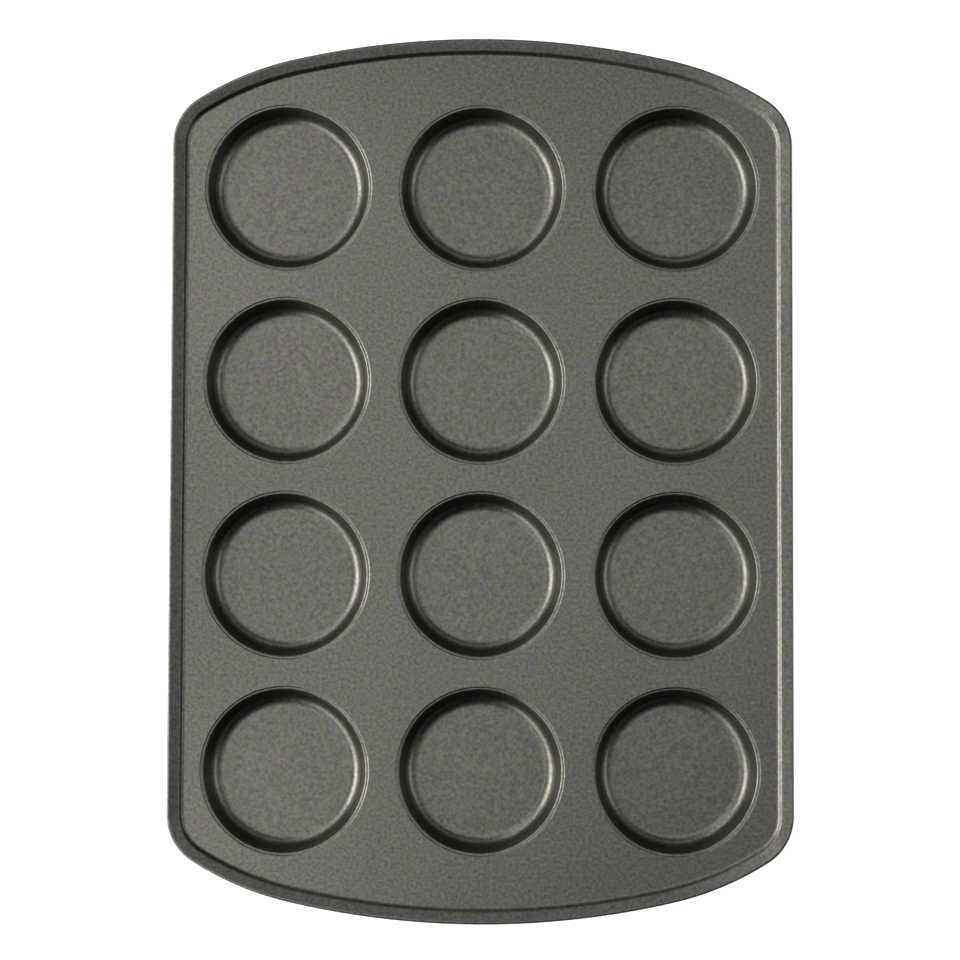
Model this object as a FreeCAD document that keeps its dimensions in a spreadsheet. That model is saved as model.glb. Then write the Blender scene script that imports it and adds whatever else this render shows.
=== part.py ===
# Twelve-cup bun pan: one stamped and curled metal sheet.
#
# Frame: millimetres, +Z up, +Y along the pan's length.
# The origin is the middle of the plane that the floors of the cups stand on.
import FreeCAD, Part
import math
import os

import Sketcher

V = FreeCAD.Vector

# Driving sizes: name, value, what it measures.
SIZES = (
    ("sheet_gauge", 0.8, "thickness of the sheet"),
    ("cup_columns", 3, "cups across the pan"),
    ("cup_rows", 4, "cups along the pan"),
    ("bridge", 11.4, "flat sheet between two neighbouring rings"),
    ("ring_width", 1.2, "flat ring round the mouth of a cup"),
    ("mouth_radius", 37.1, "centre of a cup to the edge of its mouth"),
    ("cup_depth", 12.0, "flat of the sheet down to the floor of a cup"),
    ("lip_run", 0.75, "turned lip of the mouth, across"),
    ("lip_rise", 0.55, "turned lip of the mouth, up"),
    ("wall_run", 2.9, "steep wall of a cup, across"),
    ("foot_run", 3.15, "hollow between floor and wall, across"),
    ("foot_rise", 2.3, "hollow between floor and wall, up"),
    ("side_margin", 14.2, "outermost rings to the straight sides"),
    ("end_margin", 29.7, "outermost rings to the tips of the bowed ends"),
    ("bow_radius", 383.0, "long arc across each end"),
    ("shoulder_radius", 138.0, "arc between a bow and a corner"),
    ("shoulder_offset", 55.1, "centre of a shoulder arc from the long middle line"),
    ("corner_radius", 24.8, "tight arc into the straight side"),
    ("rim_width", 6.55, "outer edge of the pan to the foot of the step up"),
    ("band_width", 4.85, "outer edge of the pan to the inside of the raised band"),
    ("band_fall", 0.15, "fall of the band towards the cups"),
    ("step_rise", 3.2, "flat of the sheet up to the highest line of the band"),
    ("bead_height", 4.0, "highest to lowest line of the curled edge"),
    ("bead_bevel", 1.2, "turned shoulders of the curled edge"),
    ("curl_reach", 4.2, "outer edge of the pan to where the curl ends below"),
)

# Worked-out sizes: name and formula. A later line may use an earlier one.
LAYOUT = (
    ("ring_radius", "sizes.mouth_radius + sizes.ring_width"),
    ("cup_pitch", "2 * ring_radius + sizes.bridge"),
    ("outer_column", "(sizes.cup_columns - 1) / 2 * cup_pitch"),
    ("outer_row", "(sizes.cup_rows - 1) / 2 * cup_pitch"),
    ("half_width", "outer_column + ring_radius + sizes.side_margin"),
    ("half_length", "outer_row + ring_radius + sizes.end_margin"),
    ("flat_top", "sizes.cup_depth + sizes.sheet_gauge"),
    ("band_top", "flat_top + sizes.step_rise"),
    ("floor_radius", "sizes.mouth_radius - sizes.lip_run - sizes.wall_run - sizes.foot_run"),
)

START, END, CENTRE = 1, 2, 3
ORIGIN = (-1, 1)
ACROSS = -1
ALONG = -2
VOLUME_SLACK = 1e-4


def fill_sheet(doc, name, rows, prefix=""):
    """A spreadsheet with one alias for each row's name."""
    sheet = doc.addObject("Spreadsheet::Sheet", name)
    for line, row in enumerate(rows, start=1):
        cell = "B%d" % line
        sheet.set("A%d" % line, row[0])
        sheet.set(cell, prefix + str(row[1]))
        sheet.setAlias(cell, row[0])
        sheet.set("C%d" % line, row[-1] if len(row) > 2 else "")
    doc.recompute()
    return sheet


def place_sketch(body, name, plane):
    """An empty sketch on one of the body's own origin planes."""
    sketch = body.newObject("Sketcher::SketchObject", name)
    face = next(f for f in body.Origin.OriginFeatures if f.Role == plane)
    sketch.AttachmentSupport = [(face, "")]
    sketch.MapMode = "FlatFace"
    return sketch


def relate(sketch, kind, *references):
    """Adds one relation of this kind for each tuple of references."""
    sketch.addConstraint([Sketcher.Constraint(kind, *refs) for refs in references])


def dimension(sketch, kind, references, name, formula):
    """Adds a dimension that follows a formula; until then it holds 1 mm."""
    index = sketch.ConstraintCount
    sketch.addConstraint([Sketcher.Constraint(kind, *references, 1.0)])
    sketch.renameConstraint(index, name)
    sketch.setExpression("Constraints." + name, formula)


def draw_polygon(sketch, corners):
    """Straight sides from corner to corner, closed, with joined ends."""
    following = corners[1:] + corners[:1]
    sketch.addGeometry([Part.LineSegment(V(*a), V(*b)) for a, b in zip(corners, following)])
    sides = range(len(corners))
    relate(sketch, "Coincident", *((i, END, (i + 1) % len(corners), START) for i in sides))


def draw_outline(sketch, sizes, layout, inset=0, formula=""):
    """The pan's outline or, with an inset and its formula, a line inside it.

    It starts in the middle of the right side and runs anticlockwise. Each end
    is a long bow between two shoulders and two corners, all tangent, and every
    inset keeps their centres.
    """
    half_width = layout.half_width - inset
    bow, shoulder, corner = (
        radius - inset
        for radius in (sizes.bow_radius, sizes.shoulder_radius, sizes.corner_radius)
    )
    bow_y = layout.half_length - sizes.bow_radius
    shoulder_x = sizes.shoulder_offset
    shoulder_y = bow_y + math.sqrt((bow - shoulder) ** 2 - shoulder_x**2)
    corner_x = half_width - corner
    corner_y = shoulder_y + math.sqrt((shoulder - corner) ** 2 - (corner_x - shoulder_x) ** 2)
    turn = math.atan2(shoulder_y - bow_y, shoulder_x)
    bend = math.atan2(corner_y - shoulder_y, corner_x - shoulder_x)

    def arc(x, y, radius, start, end):
        return Part.ArcOfCircle(Part.Circle(V(x, y, 0), V(0, 0, 1), radius), start, end)

    def half(side):
        """Corner, shoulder, bow, shoulder, corner round one end."""
        base = 0 if side > 0 else math.pi
        x, y = side * corner_x, side * corner_y
        sx, sy = side * shoulder_x, side * shoulder_y
        return [
            arc(x, y, corner, base, base + bend),
            arc(sx, sy, shoulder, base + bend, base + turn),
            arc(0, side * bow_y, bow, base + turn, base + math.pi - turn),
            arc(-sx, sy, shoulder, base + math.pi - turn, base + math.pi - bend),
            arc(-x, y, corner, base + math.pi - bend, base + math.pi),
        ]

    def side_line(x, y_start, y_end):
        return Part.LineSegment(V(x, y_start, 0), V(x, y_end, 0))

    edges = [side_line(half_width, 0, corner_y), *half(1)]
    edges += [side_line(-half_width, corner_y, -corner_y), *half(-1)]
    edges += [side_line(half_width, -corner_y, 0)]
    sketch.addGeometry(edges)

    right, left, last = 0, 6, 12
    corners, shoulders, bows = (1, 5, 7, 11), (2, 4, 8, 10), (3, 9)
    relate(sketch, "Tangent", *((i, END, i + 1, START) for i in range(last)))
    relate(sketch, "Coincident", (last, END, right, START))
    relate(sketch, "Vertical", (right,), (left,), (last,))
    relate(sketch, "PointOnObject", (right, START, ACROSS))
    relate(sketch, "PointOnObject", *((i, CENTRE, ALONG) for i in bows))
    for group in (corners, shoulders, bows):
        relate(sketch, "Equal", *((group[0], other) for other in group[1:]))
    relate(sketch, "Vertical", (2, CENTRE, 10, CENTRE), (4, CENTRE, 8, CENTRE))
    dimension(sketch, "Radius", (1,), "corner", "sizes.corner_radius" + formula)
    dimension(sketch, "Radius", (2,), "shoulder", "sizes.shoulder_radius" + formula)
    dimension(sketch, "Radius", (3,), "bow", "sizes.bow_radius" + formula)
    dimension(sketch, "DistanceX", (*ORIGIN, right, START), "right", "layout.half_width" + formula)
    dimension(sketch, "DistanceX", (left, START, *ORIGIN), "left", "layout.half_width" + formula)
    dimension(sketch, "DistanceX", (*ORIGIN, 2, CENTRE), "shoulder_right", "sizes.shoulder_offset")
    dimension(sketch, "DistanceX", (4, CENTRE, *ORIGIN), "shoulder_left", "sizes.shoulder_offset")
    depth = "sizes.bow_radius - layout.half_length"
    dimension(sketch, "DistanceY", (3, CENTRE, *ORIGIN), "far_bow", depth)
    dimension(sketch, "DistanceY", (*ORIGIN, 9, CENTRE), "near_bow", depth)


def draw_rim(sketch, sizes, layout):
    """Section of the rim: step, band, bevelled bead and curled-in end.

    Seven corners run outwards along the upper face and round the bead, and
    eight come back along the other face, one sheet thickness away.
    """
    edge, gauge, bevel = layout.half_width, sizes.sheet_gauge, sizes.bead_bevel
    flat, top = layout.flat_top, layout.band_top
    bottom = top - sizes.bead_height
    step_foot = edge - sizes.rim_width
    band_end = edge - sizes.band_width
    curl_tip = edge - sizes.curl_reach
    inner_bevel = bevel - gauge * (2 - math.sqrt(2))
    corners = [
        (step_foot, flat),
        (band_end, top - sizes.band_fall),
        (edge - bevel, top),
        (edge, top - bevel),
        (edge, bottom + bevel),
        (edge - bevel, bottom),
        (curl_tip, bottom),
        (curl_tip, bottom + gauge),
        (edge - gauge - inner_bevel, bottom + gauge),
        (edge - gauge, bottom + gauge + inner_bevel),
        (edge - gauge, top - gauge - inner_bevel),
        (edge - gauge - inner_bevel, top - gauge),
        (band_end + gauge / 2, top - sizes.band_fall - gauge),
        (step_foot + gauge / 2, flat - gauge),
        (step_foot, flat - gauge),
    ]
    draw_polygon(sketch, corners)
    step, band, upper, outside, lower, under, tip = range(7)
    in_under, in_lower, in_outside, in_upper, in_band, in_step, in_flat, joint = range(7, 15)
    relate(sketch, "Horizontal", (under,), (in_under,), (in_flat,))
    relate(sketch, "Vertical", (outside,), (tip,), (in_outside,), (joint,))
    slopes = ((step, in_step), (band, in_band), (upper, in_upper), (lower, in_lower))
    relate(sketch, "Parallel", *slopes)
    for outer, inner in (*slopes, (outside, in_outside)):
        name = "gauge_%d" % outer
        dimension(sketch, "Distance", (inner, START, outer), name, "sizes.sheet_gauge")
    rules = (
        ("DistanceX", (*ORIGIN, outside, START), "edge", "layout.half_width"),
        ("DistanceX", (joint, END, outside, START), "rim_width", "sizes.rim_width"),
        ("DistanceX", (band, START, outside, START), "band_width", "sizes.band_width"),
        ("DistanceX", (tip, START, outside, START), "curl_reach", "sizes.curl_reach"),
        ("DistanceX", (upper, START, upper, END), "upper_run", "sizes.bead_bevel"),
        ("DistanceX", (lower, END, lower, START), "lower_run", "sizes.bead_bevel"),
        ("DistanceY", (upper, END, upper, START), "upper_rise", "sizes.bead_bevel"),
        ("DistanceY", (lower, END, lower, START), "lower_rise", "sizes.bead_bevel"),
        ("DistanceY", (*ORIGIN, step, START), "flat", "layout.flat_top"),
        ("DistanceY", (*ORIGIN, upper, START), "top", "layout.band_top"),
        ("DistanceY", (band, START, band, END), "band_fall", "sizes.band_fall"),
        ("DistanceY", (under, START, upper, START), "bead_height", "sizes.bead_height"),
        ("DistanceY", (tip, START, tip, END), "gauge_tip", "sizes.sheet_gauge"),
        ("DistanceY", (joint, START, joint, END), "gauge_joint", "sizes.sheet_gauge"),
    )
    for rule in rules:
        dimension(sketch, *rule)


def draw_cup(sketch, sizes, layout):
    """Half section of one cup, from its axis to the outside of its ring."""
    gauge, flat = sizes.sheet_gauge, layout.flat_top
    floor, mouth, ring = layout.floor_radius, sizes.mouth_radius, layout.ring_radius
    foot = floor + sizes.foot_run
    corners = [
        (0, gauge),
        (floor, gauge),
        (foot, gauge + sizes.foot_rise),
        (mouth - sizes.lip_run, flat - sizes.lip_rise),
        (mouth, flat),
        (ring, flat),
        (ring, flat - gauge),
        (mouth, flat - gauge),
        (foot + gauge, sizes.foot_rise),
        (floor + gauge / 2, 0),
        (0, 0),
    ]
    draw_polygon(sketch, corners)
    floor_side, foot_side, wall, lip, ring_side, ring_edge = range(6)
    in_ring, in_wall, in_foot, in_floor, axis = range(6, 11)
    relate(sketch, "Horizontal", (floor_side,), (ring_side,), (in_ring,), (in_floor,))
    relate(sketch, "Vertical", (ring_edge,), (axis,))
    relate(sketch, "Coincident", (axis, START, *ORIGIN))
    relate(sketch, "Parallel", (foot_side, in_foot), (wall, in_wall))
    rules = (
        ("Distance", (in_foot, START, foot_side), "gauge_foot", "sizes.sheet_gauge"),
        ("Distance", (in_wall, START, wall), "gauge_wall", "sizes.sheet_gauge"),
        ("DistanceY", (axis, START, axis, END), "gauge_floor", "sizes.sheet_gauge"),
        ("DistanceY", (ring_edge, END, ring_edge, START), "gauge_ring", "sizes.sheet_gauge"),
        ("DistanceY", (*ORIGIN, ring_side, START), "flat", "layout.flat_top"),
        ("DistanceX", (*ORIGIN, foot_side, START), "floor", "layout.floor_radius"),
        ("DistanceX", (*ORIGIN, ring_edge, START), "ring", "layout.ring_radius"),
        ("DistanceX", (foot_side, START, foot_side, END), "foot_run", "sizes.foot_run"),
        ("DistanceY", (foot_side, START, foot_side, END), "foot_rise", "sizes.foot_rise"),
        ("DistanceX", (wall, START, wall, END), "wall_run", "sizes.wall_run"),
        ("DistanceX", (lip, START, lip, END), "lip_run", "sizes.lip_run"),
        ("DistanceY", (lip, START, lip, END), "lip_rise", "sizes.lip_rise"),
    )
    for rule in rules:
        dimension(sketch, *rule)


def press_sheet(body, sizes, layout):
    """The flat of the sheet, inside the rim."""
    outline = place_sketch(body, "flat_outline", "XY_Plane")
    outline.setExpression("AttachmentOffset.Base.z", "sizes.cup_depth")
    draw_outline(outline, sizes, layout, sizes.rim_width, " - sizes.rim_width")
    flat = body.newObject("PartDesign::Pad", "flat_sheet")
    flat.Profile = outline
    flat.setExpression("Length", "sizes.sheet_gauge")
    body.Document.recompute()
    return Part.Face(outline.Shape).Area * sizes.sheet_gauge


def curl_rim(body, sizes, layout):
    """The rim's section, carried once round the outer edge."""
    path = place_sketch(body, "rim_path", "XY_Plane")
    draw_outline(path, sizes, layout)
    section = place_sketch(body, "rim_section", "XZ_Plane")
    draw_rim(section, sizes, layout)
    body.Document.recompute()
    rim = body.newObject("PartDesign::AdditivePipe", "curled_rim")
    rim.Profile = section
    rim.Spine = (path, [])
    body.Document.recompute()
    face = Part.Face(section.Shape)
    inside_edge = layout.half_width - face.CenterOfMass.x
    return face.Area * (path.Shape.Length - 2 * math.pi * inside_edge)


def press_cups(body, sizes, layout):
    """The near left cup and its hole in the flat, repeated over the grid."""
    circle = place_sketch(body, "hole_circle", "XY_Plane")
    circle.setExpression("AttachmentOffset.Base.z", "sizes.cup_depth")
    middle = V(-layout.outer_column, -layout.outer_row, 0)
    circle.addGeometry([Part.Circle(middle, V(0, 0, 1), layout.ring_radius)])
    dimension(circle, "Radius", (0,), "ring", "layout.ring_radius")
    dimension(circle, "DistanceX", (0, CENTRE, *ORIGIN), "column", "layout.outer_column")
    dimension(circle, "DistanceY", (0, CENTRE, *ORIGIN), "row", "layout.outer_row")
    hole = body.newObject("PartDesign::Pocket", "cup_hole")
    hole.Profile = circle
    hole.Reversed = True
    hole.setExpression("Length", "sizes.sheet_gauge")
    body.Document.recompute()

    section = place_sketch(body, "cup_section", "XZ_Plane")
    section.setExpression("AttachmentOffset.Base.x", "-layout.outer_column")
    section.setExpression("AttachmentOffset.Base.z", "layout.outer_row")
    draw_cup(section, sizes, layout)
    cup = body.newObject("PartDesign::Revolution", "cup")
    cup.Profile = section
    cup.ReferenceAxis = (section, ["V_Axis"])
    cup.Angle = 360
    body.Document.recompute()

    axes = {feature.Role: feature for feature in body.Origin.OriginFeatures}
    grid = body.newObject("PartDesign::LinearPattern", "cup_grid")
    grid.Originals = [hole, cup]
    grid.Direction = (axes["X_Axis"], [""])
    grid.Direction2 = (axes["Y_Axis"], [""])
    grid.setExpression("Length", "2 * layout.outer_column")
    grid.setExpression("Length2", "2 * layout.outer_row")
    grid.setExpression("Occurrences", "sizes.cup_columns")
    grid.setExpression("Occurrences2", "sizes.cup_rows")
    body.Tip = grid
    body.Document.recompute()
    face = Part.Face(section.Shape)
    pressed = 2 * math.pi * (face.CenterOfMass.x + layout.outer_column) * face.Area
    cut = math.pi * layout.ring_radius**2 * sizes.sheet_gauge
    return sizes.cup_columns * sizes.cup_rows * (pressed - cut)


def check_model(doc, body, wanted):
    """Stops before anything is written if a feature failed or has the wrong size."""
    for item in doc.Objects:
        if {"Invalid", "Error"} & set(item.State):
            raise RuntimeError("%s failed: %s" % (item.Name, item.State))
    for sketch in doc.findObjects("Sketcher::SketchObject"):
        if not sketch.FullyConstrained:
            raise RuntimeError("%s isn't fixed by its sizes" % sketch.Name)
    shape = body.Shape
    if shape.isNull() or not shape.isValid() or len(shape.Solids) != 1:
        raise RuntimeError("%s isn't one valid solid" % body.Name)
    print("volume %.1f, worked out %.1f cubic mm" % (shape.Volume, wanted))
    if abs(shape.Volume - wanted) > VOLUME_SLACK * wanted:
        raise RuntimeError("%s doesn't have the volume of its features" % body.Name)


doc = FreeCAD.newDocument("bun_pan")
sizes = fill_sheet(doc, "sizes", SIZES)
layout = fill_sheet(doc, "layout", LAYOUT, "=")
pan = doc.addObject("PartDesign::Body", "bun_pan")
pan.Label = "bun_pan"
pan.Placement = FreeCAD.Placement()
flat_volume = press_sheet(pan, sizes, layout)
rim_volume = curl_rim(pan, sizes, layout)
cup_volume = press_cups(pan, sizes, layout)
check_model(doc, pan, flat_volume + rim_volume + cup_volume)

os.makedirs("parts", exist_ok=True)
pan.Shape.exportStep("parts/bun_pan.step")
print("wrote bun_pan", pan.Shape.BoundBox)
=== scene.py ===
import math

import bmesh
import bpy
import numpy as np
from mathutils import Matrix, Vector


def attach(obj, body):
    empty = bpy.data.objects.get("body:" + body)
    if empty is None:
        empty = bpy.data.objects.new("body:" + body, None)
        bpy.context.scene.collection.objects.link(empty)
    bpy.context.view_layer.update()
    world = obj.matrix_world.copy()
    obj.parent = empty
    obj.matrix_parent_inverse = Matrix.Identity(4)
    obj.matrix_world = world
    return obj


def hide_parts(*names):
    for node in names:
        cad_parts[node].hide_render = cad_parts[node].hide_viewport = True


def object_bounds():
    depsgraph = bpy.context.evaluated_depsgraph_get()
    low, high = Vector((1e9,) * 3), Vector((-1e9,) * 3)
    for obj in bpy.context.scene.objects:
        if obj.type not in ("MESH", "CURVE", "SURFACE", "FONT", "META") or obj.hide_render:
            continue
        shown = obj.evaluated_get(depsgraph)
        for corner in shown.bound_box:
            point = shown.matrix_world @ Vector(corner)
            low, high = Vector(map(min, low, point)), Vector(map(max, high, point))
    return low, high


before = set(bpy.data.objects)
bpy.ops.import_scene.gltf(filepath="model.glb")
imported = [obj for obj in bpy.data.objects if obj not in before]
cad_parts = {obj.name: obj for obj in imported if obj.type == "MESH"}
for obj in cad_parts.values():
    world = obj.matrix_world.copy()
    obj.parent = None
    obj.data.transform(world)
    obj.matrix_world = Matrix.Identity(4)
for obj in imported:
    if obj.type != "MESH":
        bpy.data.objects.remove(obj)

# Lengths of the pan are in millimetres, as they are on a drawing; the scene is in metres.
millimetre = 0.001
cadLow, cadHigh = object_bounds()

pan = {
    "columns": 3,
    "rows": 4,
    "pitch": 88.0,  # from cup to cup, both ways
    "sheet": 0.8,  # thickness of the metal
    "flat": 12.8,  # upper face of the flat sheet above the table
    "cupDepth": 12.0,
    "wallSlope": 75.0,  # degrees from level
    "footRound": 5.8,
    "lipRound": 1.1,
    "mouth": 37.25,  # where the lip ends
    "ledgeEnd": 37.55,  # the narrow ledge inside the pressed ring
    "ringEnd": 38.08,
    "ringStep": 0.3,  # the ledge lies this far under the flat
    "ringRound": 0.5,
    "ringMargin": 1.0,  # flat kept round outside the ring
    "bowRadius": 383.0,
    "shoulderRadius": 138.0,
    "shoulderOffset": 55.1,
    "cornerRadius": 24.8,
    "rimStart": 7.95,  # these four are distances inwards from the outer edge
    "stepFoot": 6.85,
    "bandInside": 5.45,
    "curlEnd": 4.2,
    "stepFootRound": 1.6,
    "bandRound": 1.0,
    "edgeRound": 1.0,  # round of the outer edge, above
    "beadRound": 2.0,  # and below
    "beadHeight": 4.0,
    "bandFall": 20.0,  # degrees, towards the cups
    "shearedEdge": 0.15,
    "sharpest": 0.2,  # smallest round on the lower face
    "anglesRoundCup": 80,  # from here on, how finely the pan is drawn
    "upperArcStep": 9.9,  # most degrees that one flat turns
    "lowerArcStep": 15.1,
    "rimArcStep": 12.0,
    "guard": 0.12,  # a line this close beside each round keeps the flats flat
    "cellCorner": 45.0,  # how far the flat round a corner cup reaches
    "sideSteps": 34,  # along a quarter of the edge: half a side, corner, shoulder, half a bow
    "cornerSteps": 20,
    "shoulderSteps": 14,
    "bowSteps": 22,
    "merge": 0.002,  # points closer than this become one
}


def roundCorners(corners, radii, arcStep):
    # Straight runs between corners (complex numbers), each corner replaced by a tangent arc.
    # The arc's centre stands one radius to the side of the run, and its points are
    # centre + (start - centre) * exp(i * angle) for angles from 0 to the turn.
    guard = pan["guard"]
    runs = np.diff(corners)
    ahead = runs / abs(runs)
    turns = np.angle(ahead[1:] / ahead[:-1])
    reach = np.concatenate([[0], radii * np.tan(abs(turns) / 2), [0]])
    straight = abs(runs) - reach[:-1] - reach[1:]
    points = [corners[:1]]
    for i, (turn, radius) in enumerate(zip(turns, radii)):
        start = corners[i + 1] - ahead[i] * reach[i + 1]
        centre = start + 1j * np.sign(turn) * radius * ahead[i]
        steps = max(2, math.ceil(abs(math.degrees(turn)) / arcStep))
        arc = centre + (start - centre) * np.exp(1j * turn * np.linspace(0, 1, steps + 1))
        if straight[i] > 3 * guard:  # room for a line beside the arc at both ends
            points.append(start - ahead[i : i + 1] * guard)
        elif straight[i] < guard / 10:  # the arc starts where the last one ends
            arc = arc[1:]
        points.append(arc)
        if straight[i + 1] > 3 * guard:
            points.append(arc[-1] + ahead[i + 1 : i + 2] * guard)
    points.append(corners[-1:])
    return np.concatenate(points)


def offsetCorners(corners, distance):
    # Each run moved to its right by the distance; the new corners are where the moved runs meet.
    ahead = np.diff(corners)
    side = -1j * ahead / abs(ahead)
    before = np.concatenate([side[:1], side])
    after = np.concatenate([side, side[-1:]])
    return corners + distance * (before + after) / (1 + (before * np.conj(after)).real)


def cupProfile(under):
    # Half a section of a cup, radius + i * height, from the axis outwards: floor, hollow foot,
    # steep wall, lip, ledge and ring step. The lower face is the same, one sheet further down.
    slope = math.radians(pan["wallSlope"])
    floorHeight = pan["flat"] - pan["cupDepth"]
    ledge = pan["flat"] - pan["ringStep"]
    lip = pan["mouth"] - pan["lipRound"] * math.tan(slope / 2)
    foot = lip - (ledge - floorHeight) / math.tan(slope)
    corners = np.array(
        [
            complex(0, floorHeight),
            complex(foot, floorHeight),
            complex(lip, ledge),
            complex(pan["ledgeEnd"], ledge),
            complex(pan["ringEnd"], pan["flat"]),
            complex(pan["ringEnd"] + pan["ringMargin"], pan["flat"]),
        ]
    )
    radii = np.array([pan["footRound"], pan["lipRound"], pan["ringRound"], pan["ringRound"]])
    arcStep = pan["upperArcStep"]
    if under:
        corners = offsetCorners(corners, pan["sheet"])
        radii = radii + pan["sheet"] * np.array([1, -1, 1, -1])
        radii = np.maximum(radii, pan["sharpest"])
        arcStep = pan["lowerArcStep"]
    profile = roundCorners(corners, radii, arcStep)
    floorRings = np.array([1 / 3, 2 / 3]) * profile[1].real + 1j * profile[0].imag
    return np.concatenate([floorRings, profile[1:]])


def rimProfile(edgeTop):
    # Out along the upper face, round the bead, in along the curl, round its sheared end and
    # back along the lower face. Real part: distance outwards from the edge, so it is negative.
    fall = math.radians(pan["bandFall"])
    edge, bead, sheet = pan["edgeRound"], pan["beadRound"], pan["sheet"]
    peak = edgeTop - edge + edge * math.tan((math.pi / 2 + fall) / 2)
    bottom = edgeTop - pan["beadHeight"]
    outer = np.array(
        [
            complex(-pan["rimStart"], pan["flat"]),
            complex(-pan["stepFoot"], pan["flat"]),
            complex(-pan["bandInside"], peak - pan["bandInside"] * math.tan(fall)),
            complex(0, peak),
            complex(0, bottom),
            complex(-pan["curlEnd"], bottom),
        ]
    )
    inner = offsetCorners(outer, sheet)[::-1]
    upper = [pan["stepFootRound"], pan["bandRound"], edge, bead]
    sheared = [pan["shearedEdge"], pan["shearedEdge"]]
    lower = [bead - sheet, edge - sheet, pan["bandRound"] - sheet, pan["stepFootRound"] + sheet]
    corners = np.concatenate([outer, inner])
    return roundCorners(corners, np.array(upper + sheared + lower), pan["rimArcStep"])


def outline(halfWidth, halfLength):
    # Points and outward normals round the edge, as complex numbers, anticlockwise from the
    # middle of the right side. One quarter is a straight side and three tangent arcs:
    # centre + radius * exp(i * angle); the other quarters mirror it.
    bow, shoulder, corner = pan["bowRadius"], pan["shoulderRadius"], pan["cornerRadius"]
    bowCentre = complex(0, halfLength - bow)
    shoulderX = pan["shoulderOffset"]
    shoulderY = bowCentre.imag + math.sqrt((bow - shoulder) ** 2 - shoulderX**2)
    shoulderCentre = complex(shoulderX, shoulderY)
    cornerX = halfWidth - corner
    cornerY = shoulderY + math.sqrt((shoulder - corner) ** 2 - (cornerX - shoulderX) ** 2)
    cornerCentre = complex(cornerX, cornerY)
    bend = np.angle(cornerCentre - shoulderCentre)
    turn = np.angle(shoulderCentre - bowCentre)
    farMiddle = math.pi / 2  # where the bow meets the pan's middle line
    side = halfWidth + 1j * np.linspace(0, cornerY, pan["sideSteps"], endpoint=False)
    places, normals = [side], [np.ones(len(side), complex)]
    for centre, radius, start, end, steps in (
        (cornerCentre, corner, 0, bend, pan["cornerSteps"]),
        (shoulderCentre, shoulder, bend, turn, pan["shoulderSteps"]),
        (bowCentre, bow, turn, farMiddle, pan["bowSteps"]),
    ):
        way = np.exp(1j * np.linspace(start, end, steps, endpoint=end == farMiddle))
        places.append(centre + radius * way)
        normals.append(way)
    whole = []
    for quarter in (np.concatenate(places), np.concatenate(normals)):
        upper = np.concatenate([quarter, -np.conj(quarter[::-1])[1:-1]])
        whole.append(np.concatenate([upper, -upper]))
    return whole


def cellReach(column, row, angles):
    # From a cup's middle to the border of its cell: half the pitch over the larger of cosine
    # and sine, and beside the pan's corners no more than a quarter circle inside the rim.
    cosine, sine = np.cos(angles), np.sin(angles)
    square = pan["pitch"] / 2 / np.maximum(abs(cosine), abs(sine))
    outX = (column == pan["columns"] - 1) * 1.0 - (column == 0)
    outY = (row == pan["rows"] - 1) * 1.0 - (row == 0)
    corner = (outX * cosine > 0) & (outY * sine > 0)
    return np.where(corner, np.minimum(square, pan["cellCorner"]), square)


def ringFaces(rings, around):
    # Quads between neighbouring rings of points, closed round the circle.
    ring, step = np.meshgrid(np.arange(rings - 1), np.arange(around), indexing="ij")
    following = (step + 1) % around
    quads = [ring * around + step, (ring + 1) * around + step]
    quads += [(ring + 1) * around + following, ring * around + following]
    return np.stack(quads, axis=-1).reshape(-1, 4)


def cupsAndFlat(under):
    # Every cup and the flat of its cell: (middle + radius * cosine, middle + radius * sine,
    # height) for each point of the profile, then one ring on the border of the cell.
    around = pan["anglesRoundCup"]
    step = np.arange(around)
    angles = 2 * math.pi * step / around
    profile = cupProfile(under)
    heights = np.append(profile.imag, profile[-1].imag)
    points, quads, triangles, borders, start = [], [], [], {}, 0
    for row in range(pan["rows"]):
        for column in range(pan["columns"]):
            middle = pan["pitch"] * complex(
                column - (pan["columns"] - 1) / 2, row - (pan["rows"] - 1) / 2
            )
            reach = cellReach(column, row, angles)
            radii = np.vstack([np.outer(profile.real, np.ones(around)), reach])
            places = middle + radii * np.exp(1j * angles)
            rings = [places.real, places.imag, np.outer(heights, np.ones(around))]
            cup = np.stack(rings, axis=-1).reshape(-1, 3)
            pole = np.array([[middle.real, middle.imag, profile[0].imag]])
            points += [cup, pole]
            quads.append(start + ringFaces(len(heights), around))
            fan = np.stack([step, (step + 1) % around, np.full(around, len(cup))], axis=-1)
            triangles.append(start + fan)
            borders[column, row] = places[-1]
            start += len(cup) + 1
    return np.concatenate(points), np.concatenate(quads), np.concatenate(triangles), borders


def gridBorder(borders):
    # The outermost cell borders as one anticlockwise loop, a quarter turn of each cell on the
    # way: the right column upwards, the far row to the left, and so on round.
    around = pan["anglesRoundCup"]
    eighth = around // 8
    lastColumn, lastRow = pan["columns"] - 1, pan["rows"] - 1
    sides = (
        ([(lastColumn, row) for row in range(lastRow + 1)], -eighth),
        ([(column, lastRow) for column in range(lastColumn, -1, -1)], eighth),
        ([(0, row) for row in range(lastRow, -1, -1)], 3 * eighth),
        ([(column, 0) for column in range(lastColumn + 1)], 5 * eighth),
    )
    loop = []
    for cells, first in sides:
        for cell in cells:
            loop.append(borders[cell][(first + np.arange(2 * eighth)) % around])
    return np.concatenate(loop)


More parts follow.
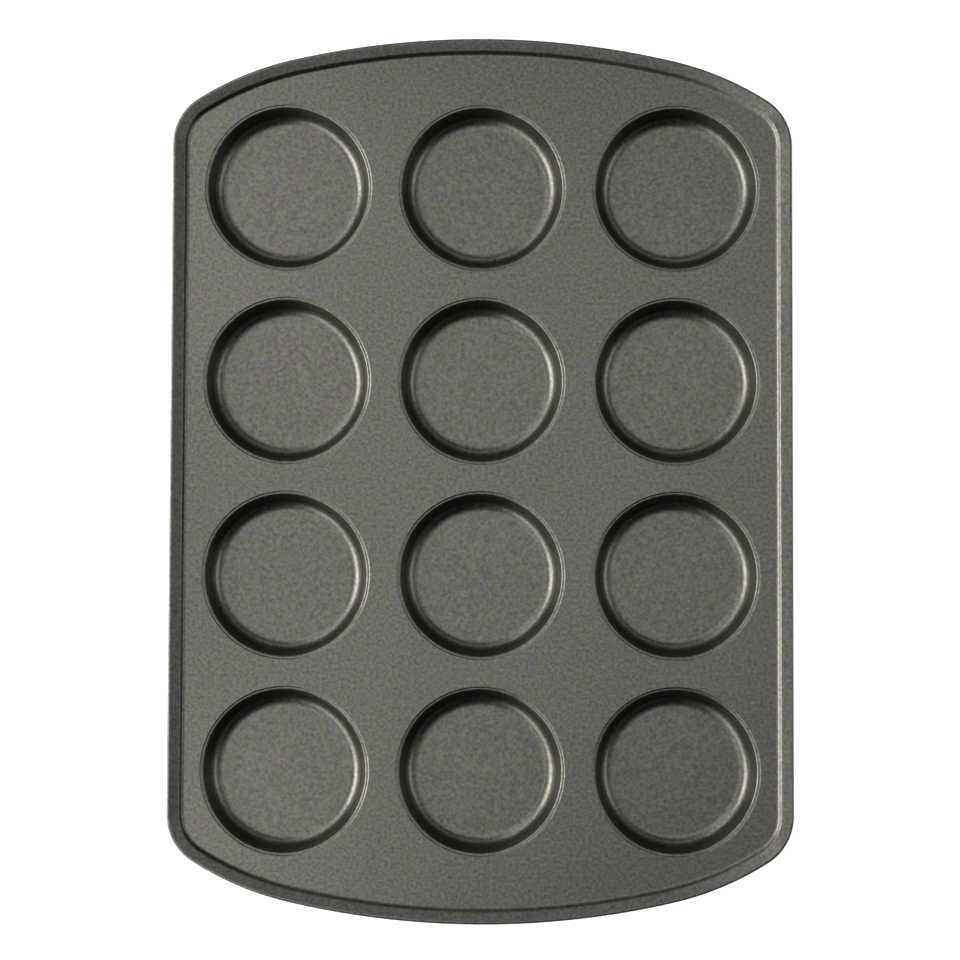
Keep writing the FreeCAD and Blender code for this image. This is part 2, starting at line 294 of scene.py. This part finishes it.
def zipLoops(inner, outer, height):
    # Two loops of points, one inside the other, joined by triangles: the points are taken in
    # the order of their direction from the middle, and each closes a triangle with the last two.
    loops = [loop[np.argsort(np.angle(loop))] for loop in (inner, outer)]
    places = np.concatenate(loops)
    order = np.argsort(np.angle(places), kind="stable")
    fromInner = order < len(inner)
    lastInner = np.cumsum(fromInner) - 1
    lastOuter = np.cumsum(~fromInner) - 1
    innerNow, innerBefore = lastInner % len(inner), (lastInner - 1) % len(inner)
    outerNow, outerBefore = lastOuter % len(outer), (lastOuter - 1) % len(outer)
    third = np.where(fromInner, innerBefore, len(inner) + outerBefore)
    triangles = np.stack([innerNow, len(inner) + outerNow, third], axis=-1)
    points = np.stack([places.real, places.imag, np.full(len(places), height)], axis=-1)
    return points, triangles


def sweptRim(places, normals, profile):
    # The profile carried round the outline: place + distance outwards * normal, at its height.
    lines = places + np.outer(profile.real, normals)
    heights = np.outer(profile.imag, np.ones(len(places)))
    points = np.stack([lines.real, lines.imag, heights], axis=-1).reshape(-1, 3)
    return points, ringFaces(len(profile), len(places))


def putInScene(name, data):
    piece = bpy.data.objects.new(name, data)
    bpy.context.scene.collection.objects.link(piece)
    return piece


def makePan(name):
    # The swept rim, then the upper and the lower face, each of cups, their flat and the
    # triangles that join it to the rim; merged into one closed shell.
    halfWidth, halfLength, edgeTop = (length / millimetre for length in cadHigh)
    places, normals = outline(halfWidth, halfLength)
    profile = rimProfile(edgeTop)
    inside = places + profile[0].real * normals
    parts = [sweptRim(places, normals, profile)]
    for under, height in ((False, profile[0].imag), (True, profile[-1].imag)):
        points, quads, triangles, borders = cupsAndFlat(under)
        parts += [(points, quads), (points, triangles)]
        parts.append(zipLoops(gridBorder(borders), inside, height))
    vertices = np.concatenate([points for points, _ in parts])
    starts = np.cumsum([0] + [len(points) for points, _ in parts[:-1]])
    faces = [face for (_, some), start in zip(parts, starts) for face in (some + start).tolist()]
    data = bpy.data.meshes.new(name)
    data.from_pydata((vertices * millimetre).tolist(), [], faces)
    shape = bmesh.new()
    shape.from_mesh(data)
    bmesh.ops.remove_doubles(shape, verts=shape.verts, dist=pan["merge"] * millimetre)
    bmesh.ops.recalc_face_normals(shape, faces=shape.faces)
    openEdges = sum(not edge.is_manifold for edge in shape.edges)
    shape.to_mesh(data)
    shape.free()
    data.polygons.foreach_set("use_smooth", np.ones(len(data.polygons), bool))
    triangleCount = sum(len(face.vertices) - 2 for face in data.polygons)
    print("pan:", triangleCount, "triangles,", openEdges, "open edges")
    return putInScene(name, data)


class Wire:
    # An output socket that takes part in sums; every operator adds one Math node.
    def __init__(self, recipe, socket):
        self.recipe = recipe
        self.socket = socket

    def output(self, key):  # another output of the same node
        return Wire(self.recipe, self.socket.node.outputs[key])

    def maths(self, operation, first, second):
        return self.recipe.add("Math", {"operation": operation}, {0: first, 1: second})

    def __add__(self, other):
        return self.maths("ADD", self, other)

    def __sub__(self, other):
        return self.maths("SUBTRACT", self, other)

    def __rsub__(self, other):
        return self.maths("SUBTRACT", other, self)

    def __mul__(self, other):
        return self.maths("MULTIPLY", self, other)

    __radd__ = __add__
    __rmul__ = __mul__


class Recipe:
    # The nodes of one material or of the world.
    def __init__(self, owner):
        owner.use_nodes = True
        self.tree = owner.node_tree
        self.tree.nodes.clear()

    def add(self, kind, settings=None, sockets=None):
        node = self.tree.nodes.new("ShaderNode" + kind)
        for key, value in (settings or {}).items():
            if key == "stops":
                for stop, (place, level) in zip(node.color_ramp.elements, value):
                    stop.position = place
                    stop.color = (level, level, level, 1)
            else:
                setattr(node, key, value)
        for key, value in (sockets or {}).items():
            if isinstance(value, Wire):
                self.tree.links.new(value.socket, node.inputs[key])
            else:
                node.inputs[key].default_value = value
        return Wire(self, node.outputs[0] if len(node.outputs) else None)

    def mixColours(self, share, first, second, blend="MIX"):
        settings = {"data_type": "RGBA", "blend_type": blend}
        return self.add("Mix", settings, {0: share, 6: first, 7: second}).output(2)


coating = {
    "light": (0.190, 0.1885, 0.1700, 1),
    "dark": (0.0920, 0.0903, 0.0780, 1),
    "warm": (1.00, 1.04, 0.90, 1),
    "cool": (1.01, 0.96, 1.09, 1),
    "metallic": 1.0,
    "edgeTint": (0.85, 0.85, 0.85, 1),  # the gloss at a grazing angle
    "roughness": 0.34,
    "roughnessSpread": 0.08,
    "grain": 700.0,  # specks per metre
    "grainDetail": 2.0,
    "grainHeight": 0.00003,
    "patches": 380.0,  # warm and cool spots per metre
    "patchDetail": 1.0,
    "cloud": 24.0,
    "cloudDetail": 3.0,
    "cloudShare": 0.15,  # of the change from dark to light
    "contrast": ((0.28, 0.0), (0.72, 1.0)),  # how the noise is stretched
}


def coatedSheet():
    # Dark satin coating with a fine speckle, and a faint cloudiness from spraying:
    # colour = mix(dark, light, speckle and cloud) * mix(warm, cool, patches).
    material = bpy.data.materials.new("coated_sheet_look")
    recipe = Recipe(material)
    place = recipe.add("TexCoord").output("Object")

    def noise(scale, detail):
        return recipe.add("TexNoise", None, {"Vector": place, "Scale": scale, "Detail": detail})

    def stretched(level):
        return recipe.add("ValToRGB", {"stops": coating["contrast"]}, {"Fac": level})

    grain = noise(coating["grain"], coating["grainDetail"])
    patches = noise(coating["patches"], coating["patchDetail"])
    cloud = noise(coating["cloud"], coating["cloudDetail"])
    share = stretched(grain) * (1 - coating["cloudShare"]) + cloud * coating["cloudShare"]
    sheet = recipe.mixColours(share, coating["dark"], coating["light"])
    tint = recipe.mixColours(stretched(patches), coating["warm"], coating["cool"])
    colour = recipe.mixColours(1.0, sheet, tint, "MULTIPLY")
    rough = coating["roughness"] + (grain - 0.5) * coating["roughnessSpread"]
    bump = recipe.add(
        "Bump", None, {"Strength": 1.0, "Distance": coating["grainHeight"], "Height": grain}
    )
    surface = recipe.add(
        "BsdfPrincipled",
        None,
        {
            "Base Color": colour,
            "Roughness": rough,
            "Metallic": coating["metallic"],
            "Specular Tint": coating["edgeTint"],
            "Normal": bump,
        },
    )
    recipe.add("OutputMaterial", None, {"Surface": surface})
    print("coating ready")
    return material


floor = {
    "halfSize": 12.0,
    "colour": (0.8, 0.8, 0.8, 1),
    "glow": 0.8,
    "drop": 0.0001,  # below the pan's feet
}


def whiteFloor():
    # Plain white to the camera and in reflections, and still darker in the object's shadow.
    material = bpy.data.materials.new("studio_floor")
    recipe = Recipe(material)
    camera = recipe.add("LightPath").output("Is Camera Ray")
    seen = camera + camera.output("Is Glossy Ray") + camera.output("Is Transmission Ray")
    seen = seen.maths("MINIMUM", seen, 1.0)
    glow = recipe.add("Emission", None, {"Strength": seen * floor["glow"]})
    matt = recipe.add("BsdfDiffuse", None, {"Color": floor["colour"]})
    both = recipe.add("AddShader", None, {0: glow, 1: matt})
    recipe.add("OutputMaterial", None, {"Surface": both})
    return material


def makeFloor():
    reach = floor["halfSize"]
    corners = [(-reach, -reach, 0), (reach, -reach, 0), (reach, reach, 0), (-reach, reach, 0)]
    data = bpy.data.meshes.new("floor")
    data.from_pydata(corners, [], [(0, 1, 2, 3)])
    data.materials.append(whiteFloor())
    piece = putInScene("floor", data)
    piece.location.z = cadLow.z - floor["drop"]
    print("floor ready")


# Each lamp faces the pan from the same distance: its direction (degrees anticlockwise from the
# pan's right side), its angle from straight above, its width and height, and its power in watts.
lampDistance = 1.5
lamps = {
    "overhead": (0, 0, 0.45, 0.45, 0.8),
    "right20": (0, 20, 0.42, 0.50, 0.3),
    "farRight20": (45, 20, 0.42, 0.50, 0.8),
    "far20": (90, 20, 0.42, 0.50, 0.3),
    "farLeft20": (135, 20, 0.42, 0.50, 1.5),
    "nearLeft20": (225, 20, 0.42, 0.50, 1.7),
    "nearRight20": (315, 20, 0.42, 0.50, 0.4),
    "right40": (0, 40, 0.75, 0.50, 0.6),
    "farLeft40": (135, 40, 0.75, 0.50, 1.9),
    "left40": (180, 40, 0.75, 0.50, 0.3),
    "nearLeft40": (225, 40, 0.75, 0.50, 1.3),
    "right60": (0, 60, 0.95, 0.50, 3.1),
    "farRight60": (45, 60, 0.95, 0.50, 0.7),
    "far60": (90, 60, 0.95, 0.50, 1.1),
    "farLeft60": (135, 60, 0.95, 0.50, 3.2),
    "left60": (180, 60, 0.95, 0.50, 11.7),
    "nearLeft60": (225, 60, 0.95, 0.50, 4.3),
    "far80": (90, 80, 1.10, 0.50, 0.4),
    "farLeft80": (135, 80, 1.10, 0.50, 2.5),
    "left80": (180, 80, 1.10, 0.50, 10.5),
    "nearLeft80": (225, 80, 1.10, 0.50, 4.0),
}
surround = {"colour": (0.25, 0.30, 1.0, 1), "strength": 0.012}


def aim(piece, place, target):
    # The back of a lamp or camera is turned away from its target.
    piece.location = place
    away = piece.location - target
    piece.rotation_euler = away.to_track_quat("Z", "Y").to_euler()


def makeLamps():
    # Place: distance * (sin tilt * cos direction, sin tilt * sin direction, cos tilt).
    middle = (cadLow + cadHigh) / 2
    for name, (direction, fromAbove, width, height, power) in lamps.items():
        light = bpy.data.lights.new(name, "AREA")
        light.shape = "RECTANGLE"
        light.size, light.size_y = width, height
        light.energy = power
        azimuth, tilt = math.radians(direction), math.radians(fromAbove)
        level = math.sin(tilt)
        way = Vector((level * math.cos(azimuth), level * math.sin(azimuth), math.cos(tilt)))
        aim(putInScene(name, light), way * lampDistance, middle)
    print("lamps:", len(lamps))


def makeSurround():
    world = bpy.data.worlds.new("surround")
    bpy.context.scene.world = world
    recipe = Recipe(world)
    glow = recipe.add(
        "Background", None, {"Color": surround["colour"], "Strength": surround["strength"]}
    )
    recipe.add("OutputWorld", None, {"Surface": glow})


camera = {
    "height": 1.20,  # above the flat of the pan
    "across": -0.0006,  # the camera and the middle of the picture, from the pan's middle line
    "nadir": -0.067,  # straight below the camera, along the pan
    "centre": -0.0009,  # the middle of the picture, along the pan
    "roll": 0.20,  # degrees
    "viewWidth": 0.4335,  # how much of the flat the picture is wide
    "clip": (0.05, 100.0),
}


def makeCamera():
    # Lens length = sensor width * distance to the flat / width of the flat in the picture.
    flat = pan["flat"] * millimetre
    view = bpy.data.cameras.new("camera")
    piece = putInScene("camera", view)
    eye = (camera["across"], camera["nadir"], flat + camera["height"])
    target = Vector((camera["across"], camera["centre"], flat))
    aim(piece, eye, target)
    distance = (piece.location - target).length
    view.lens = view.sensor_width * distance / camera["viewWidth"]
    view.clip_start, view.clip_end = camera["clip"]
    piece.rotation_euler.rotate_axis("Z", math.radians(camera["roll"]))
    bpy.context.scene.camera = piece
    print("camera ready")


piece = makePan("pan_body")
piece.data.materials.append(coatedSheet())
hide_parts("bun_pan")
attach(piece, "root")
makeFloor()
makeLamps()
makeSurround()
makeCamera()
bpy.context.scene.view_settings.view_transform = "Standard"
print("scene ready")
